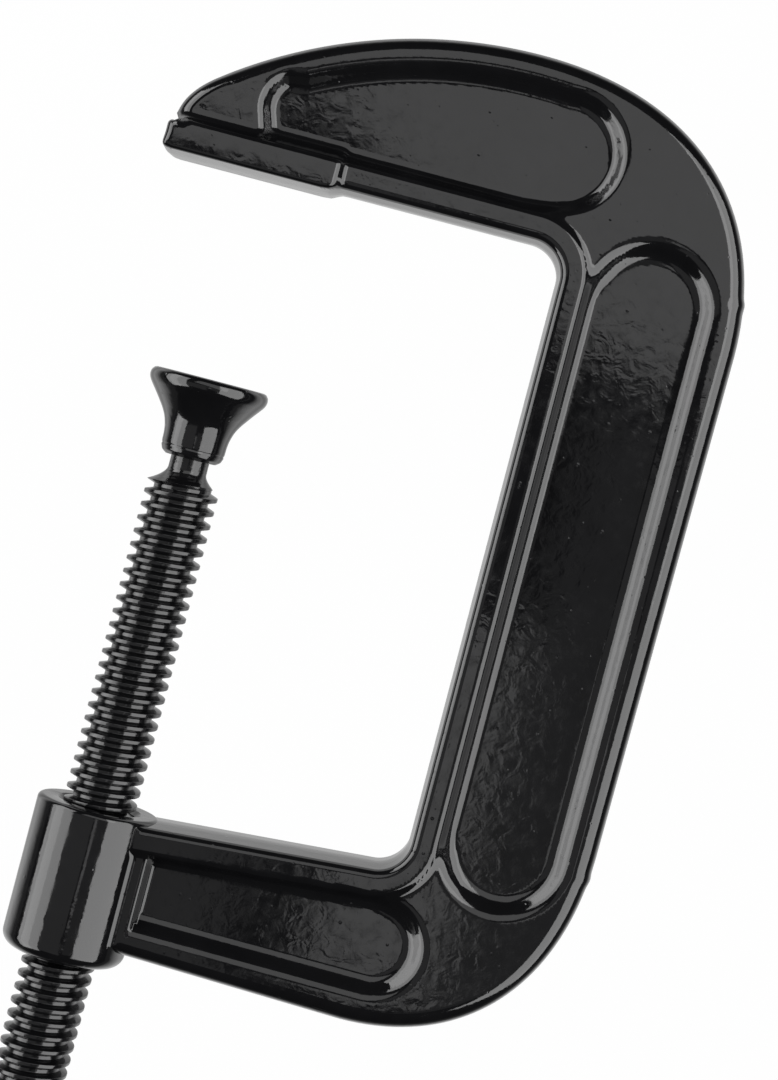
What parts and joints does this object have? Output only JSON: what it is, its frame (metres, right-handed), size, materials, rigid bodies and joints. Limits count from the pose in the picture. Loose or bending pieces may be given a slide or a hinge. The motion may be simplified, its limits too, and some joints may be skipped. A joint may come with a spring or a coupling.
{
  "type": "c clamp",
  "caption": "Cast C-shaped clamp frame with a trapezoidal screw, a swivelling pad on its ball end and a sliding tommy bar.",
  "frame": {"origin": "where the screw's axis meets the anvil face", "axes": "+Y along the screw's axis from the boss to the anvil, +X from the screw into the throat, +Z through the frame's thickness, up when the clamp lies on its side"},
  "size_m": [0.1693, 0.2903, 0.027],
  "materials": {
    "frame_paint": "thick high-gloss black paint over a casting",
    "screw_black": "semi-gloss black, rolled thread",
    "pad_black": "gloss black",
    "bar_black": "gloss black"
  },
  "bodies": {
    "frame": {"c_frame": "frame_paint"},
    "pad": {"swivel_pad": "pad_black"},
    "screw": {"screw": "screw_black"},
    "handle": {"tommy_bar": "bar_black", "bar_knob_left": "bar_black", "bar_knob_right": "bar_black"}
  },
  "joints": [
    {"name": "pad_travel", "type": "slide", "parent": "frame", "child": "pad", "axis": [0, 1, 0], "range_m": [-0.0773, 0.0452]},
    {"name": "screw_turn", "type": "hinge", "parent": "pad", "child": "screw", "pos_m": [0, -0.0593, 0], "axis": [0, 1, 0], "range_deg": [-9270, 5412]},
    {"name": "bar_slide", "type": "slide", "parent": "screw", "child": "handle", "axis": [1, 0, 0], "range_m": [-0.04, 0.04]}
  ],
  "couplings": [
    {"joint": "pad_travel", "follows": "screw_turn", "m_per_rad": 0.00047746}
  ]
}
